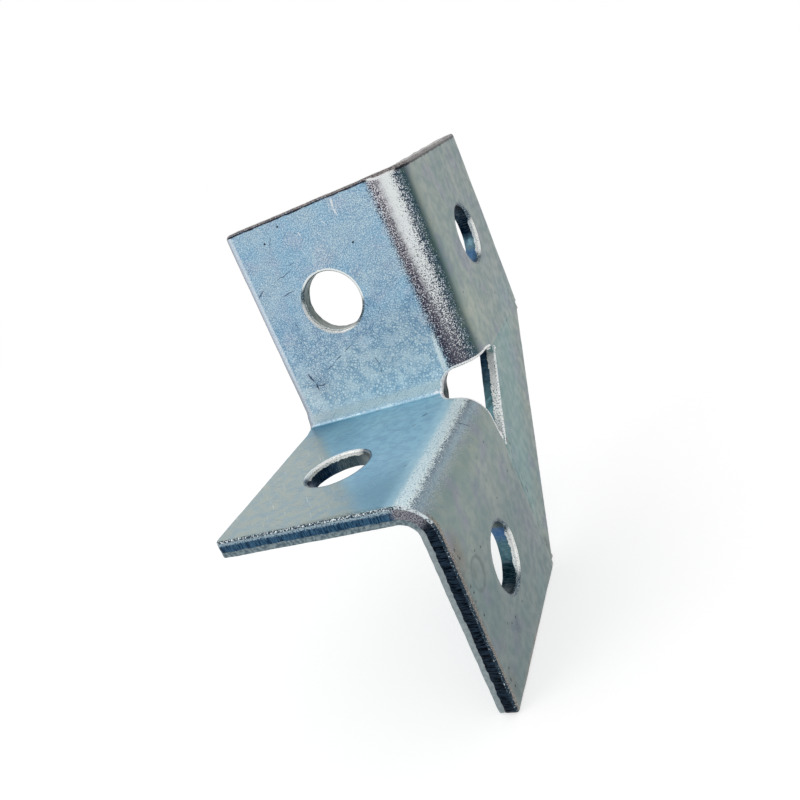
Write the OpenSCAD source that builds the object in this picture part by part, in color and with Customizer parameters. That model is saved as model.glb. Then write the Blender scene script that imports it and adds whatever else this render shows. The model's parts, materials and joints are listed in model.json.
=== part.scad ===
// Right-angle connector for strut channel.
// A steel strip is folded square into an upper and a lower flange, and a wing is bent
// back from one long edge of each. A corner plate is welded into the gap between the
// two wings, which the fold has opened to a right angle.
//
// The work is laid out from the datum corner, where three faces would meet: the wings'
// outer face (x = 0), the upper flange's front face (y = 0) and the lower flange's top
// face (z = 0). The finished part is then moved so that its origin is the centre of
// the lower flange's bolt hole, at the top face. The lower half mirrors the upper one.

/* [Sheet] */
// Thickness of the steel sheet
sheet_t = 3.4; // [2:0.1:5]
// Radius rolled onto the outer faces where the blank was sheared
edge_roll = 0.5; // [0.1:0.05:0.9]
// Rounding of the blank's free corners
corner_r = 1; // [0.4:0.1:3]

/* [Flanges and wings] */
// Width of each flange, from its free edge to the wings' outer face
flange_w = 41; // [38:0.5:60]
// Width of each wing, from the flange's front face to its free edge
wing_w = 41; // [38:0.5:60]
// Length of each flange and wing, from the inside of the fold to the free end
arm_l = 45; // [42:0.5:80]

/* [Folds] */
// Inside radius of the bend between a flange and its wing
bend_r = 2.8; // [1:0.1:4]
// Inside radius of the fold between the two flanges
fold_r = 0.8; // [0.4:0.1:1.6]
// How far the sheet is squeezed out sideways at the inside of the fold
fold_bulge = 0.6; // [0.1:0.1:1]

/* [Relief] */
// Half the width of the relief between the two wing bends, and the radius of its end
relief_r = 4.2; // [3:0.1:5]
// Distance of the relief's round end from the wings' outer face
relief_reach = 9.3; // [8:0.1:12]

/* [Bolt holes] */
// Diameter of the four bolt holes, below their rolled mouths
hole_d = 12.5; // [8:0.5:16]
// Distance of each hole's centre from the inner face of the sheet bent beside it
hole_line = 20.65; // [17:0.05:24]
// Distance of each hole's centre from the inside of the fold, along the arm
hole_reach = 25; // [20:0.5:30]
// Radius rolled onto the mouth of each hole by the punch
hole_roll = 0.5; // [0.1:0.05:0.8]

/* [Corner plate] */
// Distance of the seams' centre lines from the datum corner
seam_off = 3.2; // [2:0.1:4]
// Distance of the plate's inner edge from the datum corner, square to that edge
cut_in = 6.7; // [5:0.1:9]
// How far the outer edge lies inside the line between the wings' free corners
outer_in = 0.3; // [0:0.1:2]

/* [Welds] */
// Gap between a wing's end and the corner plate
root_gap = 0.3; // [0.1:0.1:1]
// How far the welding groove opens on each side of that gap, at the outer face
groove_w = 1.2; // [0.4:0.1:1.6]
// Depth of the weld below the outer face, where it is ground flush
weld_depth = 2.6; // [1:0.1:4]
// Distance from the datum corner to the start of each weld
weld_from = 10.8; // [10:0.1:14]
// Length of seam left open at the wing's free edge
weld_notch = 1.2; // [0.4:0.1:3]

/* [Hidden] */
$fn = 96;

// Outer radius of the wing bends
bend_out = bend_r + sheet_t;
// Distance of each hole's centre from the outer face of the sheet bent beside it
hole_in = sheet_t + hole_line;
// A wing's end face, and the edge of the corner plate that faces it
wing_end = seam_off + root_gap / 2;
gusset_edge = seam_off - root_gap / 2;
// Distance of the corner plate's outer edge from the datum corner, square to that edge
cut_out = (wing_w - seam_off) / sqrt(2) - outer_in;
// The groove stops short of the back of a thin sheet
groove_depth = min(weld_depth, sheet_t - root_gap);
// Radius of the dome that shapes the bulge, and how much sheet beside the fold it meets
dome_r = 10;
dome_span = 5;
// How far a cutter runs past the metal
past = 2;

module steel() color([0.62, 0.70, 0.74]) children();
module weld_metal() color([0.56, 0.61, 0.62]) children();

// Moves the work from the datum corner to the lower flange's bolt hole
module to_origin() translate([hole_in, hole_reach, 0]) children();

// Turns what belongs to the upper arm into its lower twin
module lower_side() mirror([0, 1, 1]) children();

module both_sides() {
    children();
    lower_side() children();
}

// Turns what belongs to the flange's section into its twin on the wing
module wing_side() mirror([1, 1, 0]) children();

// Lays a section drawn in Y and Z along +X
module along_x(length) rotate([90, 0, 90]) linear_extrude(length) children();

// Lays a section along a seam, centred: drawn with Y as the depth below the outer face
module along_seam(length) {
    rotate([-90, 90, 0]) linear_extrude(length, center = true) children();
}

// What is cut away at the origin to leave an edge with a radius
module edge_cut(r, over = past) {
    difference() {
        translate([-over, -over]) square(r + over);
        translate([r, r]) circle(r);
    }
}

// A quarter of a ring of sheet, towards +X and -Y from its centre
module quarter_turn(inner) {
    outer = inner + sheet_t;
    intersection() {
        difference() {
            circle(outer);
            circle(inner);
        }
        translate([0, -outer]) square(outer);
    }
}

// Section of one flange or wing up to the bend, with its free edge rolled
module leaf_section(width) {
    translate([-width, 0]) difference() {
        square([width - bend_out, sheet_t]);
        edge_cut(edge_roll);
    }
}

// Section of an arm: flange, bend and wing, with the outer faces on the two axes
module arm_section() {
    leaf_section(flange_w);
    translate([-bend_out, bend_out]) quarter_turn(bend_r);
    wing_side() leaf_section(wing_w);
}

// Section of the fold, drawn with Y as its first axis and Z as its second
module fold_section() translate([-fold_r, fold_r]) quarter_turn(fold_r);

// The sheet squeezed out beside the fold: a dome, as thick as the sheet behind it
module fold_edge_bulge() {
    intersection() {
        translate([dome_r - flange_w - fold_bulge, 0, 0]) sphere(dome_r);
        translate([-flange_w - fold_bulge, 0, 0]) along_x(fold_bulge + edge_roll) {
            fold_section();
            translate([0, fold_r]) square([sheet_t, dome_span]);
            translate([-fold_r - dome_span, -sheet_t]) square([dome_span, sheet_t]);
        }
    }
}

// The roll along the outer face at an arm's free end, over flange, bend and wing
module end_roll() {
    translate([-flange_w - past, 0, arm_l]) mirror([0, 0, 1])
        along_x(flange_w + past - bend_out) edge_cut(edge_roll);
    wing_side() translate([-wing_w - past, 0, arm_l]) mirror([0, 0, 1])
        along_x(wing_w + past - bend_out) edge_cut(edge_roll);
    translate([-bend_out, bend_out, arm_l]) rotate([0, 0, -90])
        rotate_extrude(angle = 90) translate([bend_out, 0]) mirror([1, 0])
            mirror([0, 1]) edge_cut(edge_roll);
}

// The roll along the flanges' free edges where they turn through the fold
module fold_roll() {
    translate([-flange_w, -fold_r, fold_r]) rotate([0, 90, 0])
        rotate_extrude(angle = 90) translate([fold_r, 0]) edge_cut(edge_roll, fold_r);
}

// Rounds a lower corner of a leaf through its thickness, at X = left and Z = level
module corner_cut(left, level) {
    translate([left, sheet_t + past, level]) rotate([90, 0, 0])
        linear_extrude(sheet_t + 2 * past) edge_cut(corner_r);
}

// Rounds the free corners of the flange and of the wing
module free_corners() {
    mirror([0, 0, 1]) corner_cut(-flange_w, -arm_l);
    wing_side() mirror([0, 0, 1]) corner_cut(-wing_w, -arm_l);
    wing_side() corner_cut(-wing_w, wing_end);
}

// The relief through the flange and the bend: a slot with a round end
module relief_cut() {
    translate([0, bend_out, 0]) rotate([90, 0, 0]) linear_extrude(bend_out + past) {
        translate([relief_r - relief_reach, 0]) circle(relief_r);
        translate([relief_r - relief_reach, -relief_r])
            square([relief_reach, 2 * relief_r]);
    }
}

// What the blank lacks below the wing: the relief narrows to the seam, then runs on
module wing_end_cut() {
    translate([-sheet_t - past, 0, 0]) along_x(sheet_t + 2 * past) polygon([
        [bend_out - past, 0], [bend_out - past, relief_r], [bend_out, relief_r],
        [weld_from, wing_end], [wing_w + past, wing_end], [wing_w + past, 0]
    ]);
}

// Section of the groove that the weld fills, below the outer face
module groove_section() {
    half = root_gap / 2;
    polygon([
        [-half - groove_w, 0], [half + groove_w, 0], [half, groove_depth], [-half, groove_depth]
    ]);
}

// The groove along the seam, cut into the wing and into the corner plate
module seam_cut() {
    length = wing_w + past - weld_from;
    translate([0, weld_from + length / 2, seam_off]) along_seam(length) groove_section();
}

// A punched bolt hole along Z, its rolled mouth at the top of the sheet
module hole_cut() {
    translate([0, 0, -sheet_t - past]) cylinder(h = sheet_t + 2 * past, d = hole_d);
    rotate_extrude() translate([hole_d / 2, 0]) mirror([0, 1]) edge_cut(hole_roll);
}

module flange_hole() {
    translate([-hole_in, 0, hole_reach]) rotate([90, 0, 0]) hole_cut();
}

module wing_hole() {
    translate([0, hole_in, hole_reach]) rotate([0, 90, 0]) hole_cut();
}

// One arm of the folded strip, with everything that is cut from it
module arm() {
    difference() {
        translate([0, 0, fold_r]) linear_extrude(arm_l - fold_r) arm_section();
        end_roll();
        free_corners();
        wing_end_cut();
        seam_cut();
        flange_hole();
        wing_hole();
    }
}

// The strip where it turns from the upper flange into the lower one
module fold() {
    difference() {
        translate([-flange_w, 0, 0]) along_x(flange_w) fold_section();
        fold_roll();
    }
}

module folded_plate() {
    steel() to_origin() difference() {
        union() {
            both_sides() arm();
            fold();
            fold_edge_bulge();
        }
        both_sides() relief_cut();
    }
}

// The plate between the wings: a strip across the corner, trimmed to the two seams
module corner_gusset() {
    width = cut_out - cut_in;
    reach = wing_w + seam_off;
    steel() to_origin() difference() {
        intersection() {
            rotate([45, 0, 0]) along_seam(4 * reach) translate([cut_in, 0]) difference() {
                square([width, sheet_t]);
                edge_cut(edge_roll);
                translate([width, 0]) mirror([1, 0]) edge_cut(edge_roll);
            }
            translate([-sheet_t, -gusset_edge, gusset_edge - reach])
                cube([sheet_t, reach, reach]);
        }
        both_sides() seam_cut();
    }
}

// A weld: the filled groove, ground flush, which stops short of the wing's free edge
module weld() {
    length = wing_w - weld_notch - weld_from;
    translate([0, weld_from + length / 2, seam_off]) along_seam(length) groove_section();
}

module upper_weld() weld_metal() to_origin() weld();
module lower_weld() weld_metal() to_origin() lower_side() weld();

folded_plate();
corner_gusset();
upper_weld();
lower_weld();
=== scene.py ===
"""Looks of a right-angle connector for strut channel, in bright zinc plate."""

import json
import math

import bmesh
import bpy
import numpy as np
from mathutils import Matrix, Vector
from mathutils.geometry import delaunay_2d_cdt

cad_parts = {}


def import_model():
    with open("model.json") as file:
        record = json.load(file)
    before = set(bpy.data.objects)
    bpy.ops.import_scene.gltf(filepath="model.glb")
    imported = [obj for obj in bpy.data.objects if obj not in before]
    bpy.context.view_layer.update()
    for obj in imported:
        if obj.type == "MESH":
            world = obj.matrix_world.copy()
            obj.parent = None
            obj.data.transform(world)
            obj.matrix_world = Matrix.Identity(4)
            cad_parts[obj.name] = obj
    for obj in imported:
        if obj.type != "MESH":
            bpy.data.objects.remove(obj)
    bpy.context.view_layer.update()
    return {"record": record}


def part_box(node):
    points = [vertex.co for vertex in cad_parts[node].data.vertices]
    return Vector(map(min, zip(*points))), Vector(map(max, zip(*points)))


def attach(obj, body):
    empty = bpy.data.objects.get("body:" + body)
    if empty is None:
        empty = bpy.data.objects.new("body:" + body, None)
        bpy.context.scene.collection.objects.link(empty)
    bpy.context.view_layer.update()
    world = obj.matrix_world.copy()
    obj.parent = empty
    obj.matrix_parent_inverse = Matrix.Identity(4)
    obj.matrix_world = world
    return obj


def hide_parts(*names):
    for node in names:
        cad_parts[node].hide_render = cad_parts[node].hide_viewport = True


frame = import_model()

# Sizes, in millimetres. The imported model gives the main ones.
MM = 0.001
PLATE_LOW, PLATE_HIGH = (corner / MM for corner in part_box("folded_plate"))
BORE = next(m for m in frame["record"]["mounts"] if m["name"] == "upper_flange_hole")
HOLE_R = BORE["dims"]["r_mm"]
SHEET_T = BORE["dims"]["length_mm"]
HOLE_REACH = BORE["pos_m"][1] / MM
HOLE_IN = PLATE_HIGH.x
WING_W = -PLATE_LOW.z
FLANGE_W = WING_W
ARM_L = PLATE_HIGH.z

# The sheet's bends, relief and corner plate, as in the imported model
BEND_IN = 2.8
BEND_OUT = BEND_IN + SHEET_T
FOLD_IN = 0.8
FOLD_BULGE = 0.6
BULGE_DOME = 10
BULGE_REACH = 3
RELIEF_R = 4.2
RELIEF_REACH = 9.3
WING_END = 3.35
GUSSET_EDGE = 3.05
GUSSET_IN = 9.475
GUSSET_OUT = 37.376
WELD_FROM = 10.8
WELD_NOTCH = 1.2
CORNER_R = 1
EDGE_ROLL = 0.5
RELIEF_ROLL = 0.35
HOLE_ROLL = 0.5
SEAM_ROLL = 0.14

# Depths at which a cut wall turns from sheared to torn, in the mesh and in its paint
TORN_FROM = SHEET_T * 0.62
TORN_PAINT = SHEET_T * 0.67

# The ground welds, with the blob of weld metal at the inner end of each
BEAD_HALF = 1.3
BEAD_DEPTH = 1.6
BEAD_COLUMNS = 10
BEAD_ROW = 0.3
BLOB_DEPTH = 0.62
UPPER_BLOB_R = 0.5
LOWER_BLOB_R = 0.85

# How strongly the fine relief bends the light, and its height
BUMP_STRENGTH = 0.6
BUMP_HEIGHT = 0.06

# Developed lengths of the bend and of half the fold, at the middle of the sheet
BEND_LEN = math.pi / 2 * (BEND_IN + SHEET_T / 2)
FOLD_HALF = math.pi / 4 * (FOLD_IN + SHEET_T / 2)

# Mesh spacing
GRID = 0.85
BEND_ROWS = 15
FOLD_ROWS = 10
OUTLINE_STEP = 0.42
ARC_STEPS = 24


def along_arm(z):
    """Developed position of a height on the upper arm."""
    return z - FOLD_IN + FOLD_HALF


def across_wing(y):
    """Developed position of a distance behind the flange's front face."""
    return BEND_LEN + y - BEND_OUT


# Edges of the flat strip: the flanges' free edge, the wings' free edge and the upper arm's end
FREE_EDGE = BEND_OUT - FLANGE_W
WING_EDGE = across_wing(WING_W)
ARM_END = along_arm(ARM_L)

# Where the wings' own material takes over from the flanges' one. Both paint the same there.
MATERIAL_EDGE = BEND_LEN + 0.5


def unit(vector):
    """A vector of length 1, along the last axis."""
    return vector / np.maximum(np.linalg.norm(vector, axis=-1, keepdims=True), 1e-9)


def smooth(value, low, high):
    """A smooth step from 0 to 1 between low and high."""
    t = np.clip((value - low) / (high - low), 0, 1)
    return t * t * (3 - 2 * t)


def ripple(points, size, seed, waves=14):
    """Smooth seeded noise of about unit height, whose waves are about size long."""
    points = np.atleast_2d(points)
    rng = np.random.default_rng(seed)
    total = np.zeros(len(points))
    for _ in range(waves):
        direction = unit(rng.normal(size=points.shape[1]))
        length = size * rng.uniform(0.6, 1.7)
        total += np.sin(points @ direction * 2 * math.pi / length + rng.uniform(0, 2 * math.pi))
    return total / math.sqrt(waves / 2)


def place_strip(s, v, w):
    """From the flat strip (across, along, depth) to the folded one, from the datum corner."""
    angle = np.clip(s / BEND_LEN, 0, 1) * math.pi / 2
    radius = BEND_OUT - w
    x = np.minimum(s, 0) - BEND_OUT + radius * np.sin(angle)
    depth = BEND_OUT - radius * np.cos(angle) + np.maximum(s - BEND_LEN, 0)
    along = np.abs(v)
    turn = math.pi / 4 * np.clip(1 - along / FOLD_HALF, 0, 1)
    y = -FOLD_IN + (FOLD_IN + depth) * np.cos(turn)
    z = FOLD_IN - (FOLD_IN + depth) * np.sin(turn) + np.maximum(along - FOLD_HALF, 0)
    # The metal inside the fold is squeezed out sideways at the free edge
    bulge = np.maximum(0, FOLD_BULGE - (y * y + z * z) / (2 * BULGE_DOME))
    x = x - bulge * smooth(-s, -FREE_EDGE - BULGE_REACH, -FREE_EDGE)
    lower = v < 0
    return np.stack([x, np.where(lower, -z, y), np.where(lower, -y, z)], axis=1)


def place_gusset(s, v, w):
    """The corner plate lies flat in the wings' plane."""
    return np.stack([-w, s, v], axis=1)


def rounded_path(corners, step):
    """A closed outline through (across, along, radius) corners, with points about a step apart."""
    points = []
    count = len(corners)
    for i, (a, b, radius) in enumerate(corners):
        here = np.array([a, b], float)
        back = unit(np.array(corners[i - 1][:2]) - here)
        ahead = unit(np.array(corners[(i + 1) % count][:2]) - here)
        if radius == 0:
            points.append(here)
            continue
        half = math.acos(np.clip(back @ ahead, -1, 1)) / 2
        centre = here + unit(back + ahead) * radius / math.sin(half)
        start = here + back * radius / math.tan(half) - centre
        end = here + ahead * radius / math.tan(half) - centre
        first = math.atan2(start[1], start[0])
        sweep = (math.atan2(end[1], end[0]) - first + math.pi) % (2 * math.pi) - math.pi
        segments = max(3, math.ceil(abs(sweep) * radius / (step / 2)))
        for k in range(segments + 1):
            angle = first + sweep * k / segments
            points.append(centre + radius * np.array([math.cos(angle), math.sin(angle)]))
    filled = []
    for here, ahead in zip(points, points[1:] + points[:1]):
        pieces = max(1, round(np.linalg.norm(ahead - here) / step))
        filled += [here + (ahead - here) * k / pieces for k in range(pieces)]
    return np.array(filled)


def strip_outline():
    """Outline of the flat strip, with the relief and the gap for the corner plate."""
    seam = along_arm(WING_END)
    relief = along_arm(RELIEF_R)
    middle = BEND_OUT + RELIEF_R - RELIEF_REACH
    lower = [(FREE_EDGE, -ARM_END, CORNER_R), (WING_EDGE, -ARM_END, CORNER_R)]
    lower += [(WING_EDGE, -seam, CORNER_R), (across_wing(WELD_FROM), -seam, 0), (BEND_LEN, -relief, 0)]
    arc = []
    for k in range(ARC_STEPS + 1):
        angle = math.pi * (k / ARC_STEPS - 0.5)
        arc.append((middle - RELIEF_R * math.cos(angle), relief * math.sin(angle), 0))
    upper = [(a, -b, r) for a, b, r in reversed(lower)]
    return rounded_path(lower + arc + upper, OUTLINE_STEP)


def gusset_outline():
    """Outline of the corner plate between its two seams."""
    corners = [
        (-GUSSET_EDGE, -GUSSET_EDGE - GUSSET_IN, 0.3),
        (-GUSSET_EDGE, -GUSSET_EDGE - GUSSET_OUT, 0.4),
        (GUSSET_EDGE + GUSSET_OUT, GUSSET_EDGE, 0.4),
        (GUSSET_EDGE + GUSSET_IN, GUSSET_EDGE, 0.3),
    ]
    return rounded_path(corners, OUTLINE_STEP)


def circle(centre, radius):
    """A hole's outline, with the metal on its left."""
    count = round(2 * math.pi * radius / OUTLINE_STEP)
    angles = -np.arange(count) * 2 * math.pi / count
    return np.array(centre) + radius * np.stack([np.cos(angles), np.sin(angles)], axis=1)


def even(values, passes=6):
    """Values round a loop, smoothed."""
    for _ in range(passes):
        values = (np.roll(values, 1, 0) + 2 * values + np.roll(values, -1, 0)) / 4
    return values


def inside(points, loop):
    """Which points lie inside a closed loop, by counting crossings."""
    x, y = points[:, 0][:, None], points[:, 1][:, None]
    ax, ay = loop[:, 0][None], loop[:, 1][None]
    bx, by = np.roll(ax, -1, 1), np.roll(ay, -1, 1)
    across = (ay > y) != (by > y)
    rise = np.where(by == ay, 1, by - ay)
    hits = across & (x < ax + (y - ay) * (bx - ax) / rise)
    return hits.sum(axis=1) % 2 == 1


def nearest(points, others):
    """Distance from each point to the nearest of the others."""
    best = np.full(len(points), 1e9)
    for start in range(0, len(others), 400):
        part = others[start:start + 400]
        gap = np.linalg.norm(points[:, None] - part[None], axis=2).min(axis=1)
        best = np.minimum(best, gap)
    return best


class Loop:
    """One edge of the sheet: its outline and the rows of its sheared wall."""

    ROLL_ROWS = 6
    WALL_ROWS = 9
    BREAK = 0.12

    def __init__(self, points, roll, punched, seed):
        self.count = len(points)
        ahead, back = np.roll(points, -1, 0), np.roll(points, 1, 0)
        direction = even(unit(ahead - back), 2)
        self.inward = unit(np.stack([-direction[:, 1], direction[:, 0]], axis=1))
        self.points = points
        self.roll = even(roll)
        self.punched = even(punched, 3)
        self.seed = seed

    def rows(self):
        """Each row as (distance in from the outline, depth below the outer face)."""
        wobble = 0.035 * (1 + np.clip(ripple(self.points, 7, self.seed), -1, 1))
        made = []
        for k in range(self.ROLL_ROWS):
            angle = math.pi / 2 * k / self.ROLL_ROWS
            inset = self.roll * (1 - math.sin(angle))
            made.append((wobble + inset, self.roll * (1 - math.cos(angle))))
        limit = TORN_FROM + 0.22 * ripple(self.points, 4.5, self.seed + 2)
        for k in range(self.WALL_ROWS + 1):
            depth = self.roll + (SHEET_T - self.BREAK - self.roll) * k / self.WALL_ROWS
            spot = np.column_stack([self.points, depth * 2])
            torn = smooth(depth, limit - 0.15, limit + 0.15)
            rough = np.maximum(0, 0.05 + 0.035 * ripple(spot, 1.3, self.seed + 1))
            made.append((wobble + torn * rough, depth))
        last_inset, _ = made[-1]
        made.append((last_inset + self.BREAK, np.full(self.count, SHEET_T)))
        return made


def in_sheet(points, rims):
    """Which points lie inside the first loop and outside the rest."""
    keep = inside(points, rims[0])
    for rim in rims[1:]:
        keep &= ~inside(points, rim)
    return keep


def grid_points(rows_across, rows_along, loops):
    """Points of a grid that lie inside the first loop, outside the rest and clear of all."""
    across, along = np.meshgrid(rows_across, rows_along)
    points = np.column_stack([across.ravel(), along.ravel()])
    rims = [loop.points + loop.inward * (loop.roll + 0.07)[:, None] for loop in loops]
    points = points[in_sheet(points, rims)]
    return points[nearest(points, np.concatenate(rims)) > GRID * 0.55]


def triangulate(points, loops, starts):
    """Triangles between the loops' first rows and the grid points, anticlockwise."""
    edges = []
    for loop, start in zip(loops, starts):
        edges += [(start + k, start + (k + 1) % loop.count) for k in range(loop.count)]
    result = delaunay_2d_cdt([Vector(p) for p in points], edges, [], 0, 1e-7)
    assert len(result[0]) == len(points), "the outline crosses itself"
    source = [origin[0] for origin in result[3]]
    corners = np.array([[source[i] for i in face] for face in result[2]])
    rims = [points[start:start + loop.count] for loop, start in zip(loops, starts)]
    corners = corners[in_sheet(points[corners].mean(axis=1), rims)]
    a, b, c = (points[corners[:, k]] for k in range(3))
    area = (b[:, 0] - a[:, 0]) * (c[:, 1] - a[:, 1]) - (b[:, 1] - a[:, 1]) * (c[:, 0] - a[:, 0])
    corners[area < 0] = corners[area < 0][:, ::-1]
    return corners[np.abs(area) > 1e-9]


def linked(name, data):
    """A new object in the scene."""
    made = bpy.data.objects.new(name, data)
    bpy.context.scene.collection.objects.link(made)
    return made


def new_piece(name, spots, faces, sharp, **values):
    """An object with named values at its points, creased where it turns by sharp degrees or more."""
    mesh = bpy.data.meshes.new(name)
    mesh.from_pydata((spots * MM).tolist(), [], [tuple(int(i) for i in face) for face in faces])
    for label, numbers in values.items():
        kind, key = ("FLOAT", "value") if numbers.ndim == 1 else ("FLOAT_VECTOR", "vector")
        points = mesh.attributes.new(label, kind, "POINT").data
        points.foreach_set(key, numbers.astype(np.float32).ravel())
    mesh.validate()
    mesh.shade_smooth()
    mesh.set_sharp_from_angle(angle=math.radians(sharp))
    return linked(name, mesh)


def sheet_mesh(name, loops, rows_across, rows_along, place, seed):
    """A sheet with sheared edges: two faces and a wall round every loop."""
    inner = grid_points(rows_across, rows_along, loops)
    walls = [loop.rows() for loop in loops]
    firsts = [loop.points + loop.inward * rows[0][0][:, None] for loop, rows in zip(loops, walls)]
    starts = np.cumsum([0] + [loop.count for loop in loops])[:-1]
    rim_total = sum(loop.count for loop in loops)
    front = np.concatenate(firsts + [inner])
    triangles = triangulate(front, loops, starts)

    flat, depth, rim, punched = [front], [np.zeros(len(front))], [], []
    rim.append(np.concatenate([np.zeros(rim_total), nearest(inner, np.concatenate(firsts))]))
    flags = np.concatenate([loop.punched for loop in loops])
    punched.append(np.concatenate([flags, np.zeros(len(inner))]))
    faces = list(triangles)
    base = len(front)
    last = np.zeros(rim_total, int)
    for loop, rows, start in zip(loops, walls, starts):
        above = start + np.arange(loop.count)
        for inset, level in rows[1:]:
            here = base + np.arange(loop.count)
            flat.append(loop.points + loop.inward * inset[:, None])
            depth.append(level)
            rim.append(np.zeros(loop.count))
            punched.append(loop.punched)
            for k in range(loop.count):
                n = (k + 1) % loop.count
                faces.append((above[k], here[k], here[n], above[n]))
            above = here
            base += loop.count
        last[start:start + loop.count] = above
    flat.append(inner)
    depth.append(np.full(len(inner), SHEET_T))
    rim.append(rim[0][rim_total:])
    punched.append(np.zeros(len(inner)))
    renumber = np.concatenate([last, base + np.arange(len(inner))])
    faces += [renumber[t[::-1]] for t in triangles]

    flat, depth = np.concatenate(flat), np.concatenate(depth)
    wave = 0.02 * (1 + np.clip(ripple(flat, 16, seed), -1, 1))
    spots = place(flat[:, 0], flat[:, 1], depth + wave * (1 - 2 * depth / SHEET_T))
    spots += np.array([HOLE_IN, HOLE_REACH, 0])
    return new_piece(
        name, spots, faces, sharp=38, sheet=np.column_stack([flat, depth]),
        rim=np.concatenate(rim), punched=np.concatenate(punched),
    )


def spaced(*spans):
    """Rows over spans of (from, to, count), each row once."""
    rows = [np.linspace(low, high, count + 1) for low, high, count in spans]
    return np.unique(np.concatenate(rows).round(6))


def folded_plate():
    """The folded strip, meshed in the flat and then bent."""
    outline = strip_outline()
    wing_gap = along_arm(WING_END) + 0.6
    relief_edge = along_arm(RELIEF_R) + 0.1
    in_seam = (outline[:, 0] > across_wing(WELD_FROM) - 0.6) & (np.abs(outline[:, 1]) < wing_gap)
    in_relief = (outline[:, 0] > BEND_OUT - RELIEF_REACH - 0.1) & (np.abs(outline[:, 1]) < relief_edge)
    roll = np.where(in_seam, SEAM_ROLL, np.where(in_relief, RELIEF_ROLL, EDGE_ROLL))
    loops = [Loop(outline, roll, np.where(in_relief & ~in_seam, 0.5, 0), seed=11)]
    hole_s = (BEND_OUT - HOLE_IN, across_wing(HOLE_IN))
    seed = 21
    for side in (1, -1):
        for s in hole_s:
            ring = circle((s, side * along_arm(HOLE_REACH)), HOLE_R)
            loops.append(Loop(ring, np.full(len(ring), HOLE_ROLL), np.ones(len(ring)), seed))
            seed += 5
    flats = round(-FREE_EDGE / GRID)
    rows_across = spaced((FREE_EDGE, 0, flats), (0, BEND_LEN, BEND_ROWS), (BEND_LEN, WING_EDGE, flats))
    arm_rows = round((ARM_END - FOLD_HALF) / GRID)
    fold_rows = (-FOLD_HALF, FOLD_HALF, FOLD_ROWS)
    rows_along = spaced((-ARM_END, -FOLD_HALF, arm_rows), fold_rows, (FOLD_HALF, ARM_END, arm_rows))
    return sheet_mesh("plated_strip", loops, rows_across, rows_along, place_strip, seed=5)


def corner_gusset():
    """The flat plate between the wings."""
    outline = gusset_outline()
    at_seam = (outline[:, 0] < -GUSSET_EDGE + 0.01) | (outline[:, 1] > GUSSET_EDGE - 0.01)
    at_inner = outline[:, 0] - outline[:, 1] < GUSSET_IN + 0.8
    roll = np.where(at_inner, RELIEF_ROLL, np.where(at_seam, SEAM_ROLL, EDGE_ROLL))
    loops = [Loop(outline, roll, np.where(at_inner, 1.0, 0.0), seed=61)]
    reach = GUSSET_EDGE + GUSSET_OUT
    rows = round((reach + GUSSET_EDGE) / GRID)
    return sheet_mesh(
        "corner_plate", loops, spaced((-GUSSET_EDGE, reach, rows)), spaced((-reach, GUSSET_EDGE, rows)),
        place_gusset, seed=6,
    )


def blob(centre, radius, seed):
    """A lump of weld metal: a closed ball with an uneven skin, ground flush on top."""
    ball = bmesh.new()
    bmesh.ops.create_icosphere(ball, subdivisions=3, radius=1)
    ball.verts.index_update()
    directions = np.array([corner.co for corner in ball.verts])
    faces = [tuple(corner.index for corner in face.verts) for face in ball.faces]
    ball.free()
    reach = radius * (1 + 0.12 * ripple(directions, 1.2, seed))
    points = np.array(centre) + directions * reach[:, None]
    points[:, 0] = np.minimum(points[:, 0], -0.01)
    return points, faces


def weld_bead(name, lower, seed):
    """A weld ground flush: a shallow rippled strip in the seam, with a blob at its inner end."""
    seam = (WING_END + GUSSET_EDGE) / 2
    length = WING_W - WELD_NOTCH - WELD_FROM
    rows = round(length / BEAD_ROW)
    along = WELD_FROM + np.linspace(0, length, rows + 1)
    across = np.linspace(-BEAD_HALF, BEAD_HALF, BEAD_COLUMNS + 1)
    grid_a, grid_c = np.meshgrid(along, across, indexing="ij")
    flat = np.column_stack([grid_a.ravel(), grid_c.ravel()])
    top = 0.06 + 0.03 * ripple(flat, 1.8, seed) + 0.03 * ripple(flat, 5, seed + 1)
    top = np.clip(top, 0.02, 0.3)
    count = len(flat)
    spots = np.concatenate([
        np.column_stack([-top, flat[:, 0], seam + flat[:, 1]]),
        np.column_stack([np.full(count, -BEAD_DEPTH), flat[:, 0], seam + flat[:, 1] * 0.2]),
    ])
    faces = []
    width = BEAD_COLUMNS + 1
    grid = np.arange(count).reshape(rows + 1, width)
    for a in grid[:-1, :-1].ravel():
        quad = (a, a + 1, a + width + 1, a + width)
        faces += [quad[::-1], tuple(k + count for k in quad)]
    rim = [*grid[0], *grid[1:, -1], *grid[-1, -2::-1], *grid[-2:0:-1, 0]]
    for a, b in zip(rim, rim[1:] + rim[:1]):
        faces.append((b, a, a + count, b + count))
    blob_r = LOWER_BLOB_R if lower else UPPER_BLOB_R
    lump, lump_faces = blob((-BLOB_DEPTH, WELD_FROM - 0.3, seam), blob_r, seed + 2)
    faces += [tuple(k + 2 * count for k in face) for face in lump_faces]
    spots = np.concatenate([spots, lump])
    if lower:
        spots = spots[:, [0, 2, 1]] * np.array([1, -1, -1])
    spots += np.array([HOLE_IN, HOLE_REACH, 0])
    layout = spots[:, [1, 2, 0]] - np.array([HOLE_REACH, 0, 0])
    layout[:, 2] = 0
    return new_piece(name, spots, faces, sharp=50, sheet=layout)


def srgb(red, green, blue):
    """A colour written as 0 to 255 screen values, as linear numbers."""
    return tuple((c / 255 / 12.92) if c < 10 else ((c / 255 + 0.055) / 1.055) ** 2.4
                 for c in (red, green, blue)) + (1.0,)


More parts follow.
